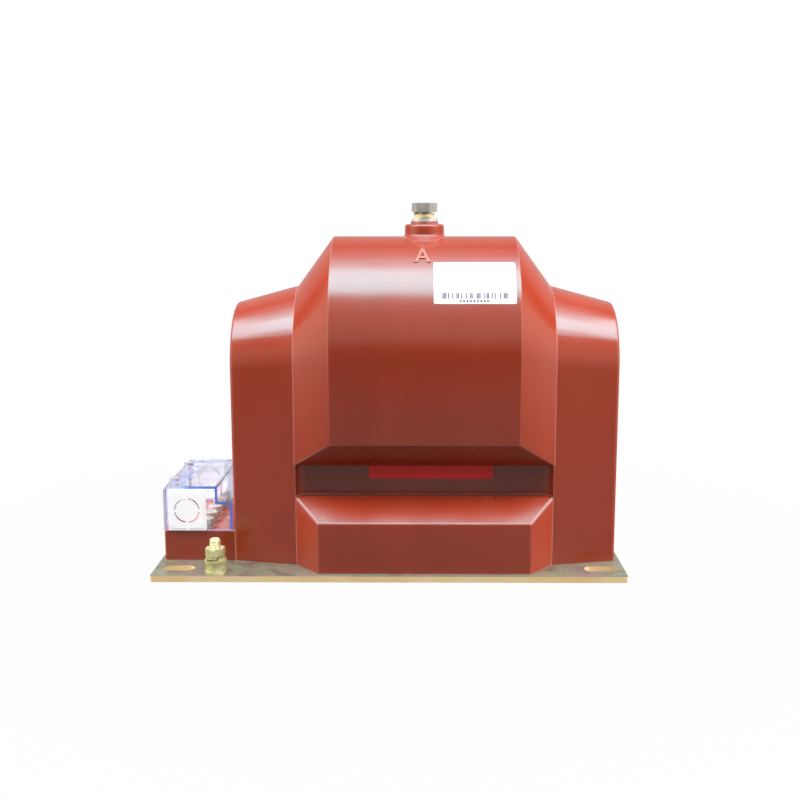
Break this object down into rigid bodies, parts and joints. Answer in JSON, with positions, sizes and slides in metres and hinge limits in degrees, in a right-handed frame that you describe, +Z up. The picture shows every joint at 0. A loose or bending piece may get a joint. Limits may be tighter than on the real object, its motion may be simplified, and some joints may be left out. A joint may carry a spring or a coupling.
{
  "type": "cast resin voltage transformer",
  "caption": "Cast resin indoor voltage transformer: domed coil block between two sloping lobes on a slotted steel plate, with a top bolt terminal, an earth stud and a clear terminal cover.",
  "frame": {"origin": "middle of the underside of the base plate", "axes": "+X to the right along the plate, -Y is the front, +Z up"},
  "size_m": [0.35, 0.168, 0.2737],
  "materials": {
    "zinc_plate": "zinc plated and yellow passivated steel sheet",
    "resin": "red-brown filled epoxy resin, semi-gloss as moulded",
    "core_steel": "bare grain-oriented steel strip",
    "band_steel": "bright steel band",
    "copper": "enamelled copper wire",
    "pressboard": "pressboard tube",
    "screen_metal": "metal cloth",
    "hv_copper": "turned copper alloy with a reddish tone",
    "bright_zinc": "bright zinc plated steel",
    "yellow_zinc": "yellow passivated steel",
    "brass": "turned brass",
    "clear_cover": "clear plastic with a light blue edge tint",
    "white_plastic": "moulded white plastic",
    "pale_zinc": "pale yellow-green passivated steel"
  },
  "bodies": {
    "root": {"base_plate": "zinc_plate", "resin_body": "resin", "core_left": "core_steel", "core_right": "core_steel", "core_band": "band_steel", "measuring_winding": "copper", "residual_winding": "copper", "primary_winding": "copper", "core_earth_lead": "copper", "hv_lead": "copper", "neutral_lead": "copper", "secondary_leads": "copper", "winding_tube": "pressboard", "barrier_tube": "pressboard", "outer_screen": "screen_metal", "hv_insert": "hv_copper", "hv_flat_washer": "bright_zinc", "hv_bolt": "bright_zinc", "lv_flat_washers": "bright_zinc", "lv_spring_washers": "bright_zinc", "lv_screws": "bright_zinc", "cover_screws": "bright_zinc", "body_screws": "bright_zinc", "hv_spring_washer": "yellow_zinc", "lv_inserts": "brass", "cover_inserts": "brass", "body_inserts": "brass", "terminal_cover": "clear_cover", "front_knockout_plate": "white_plastic", "rear_knockout_plate": "white_plastic", "earth_stud": "pale_zinc", "earth_base_washer": "pale_zinc", "earth_lower_nut": "pale_zinc", "earth_flat_washer": "pale_zinc", "earth_spring_washer": "pale_zinc", "earth_top_nut": "pale_zinc"}
  },
  "joints": []
}
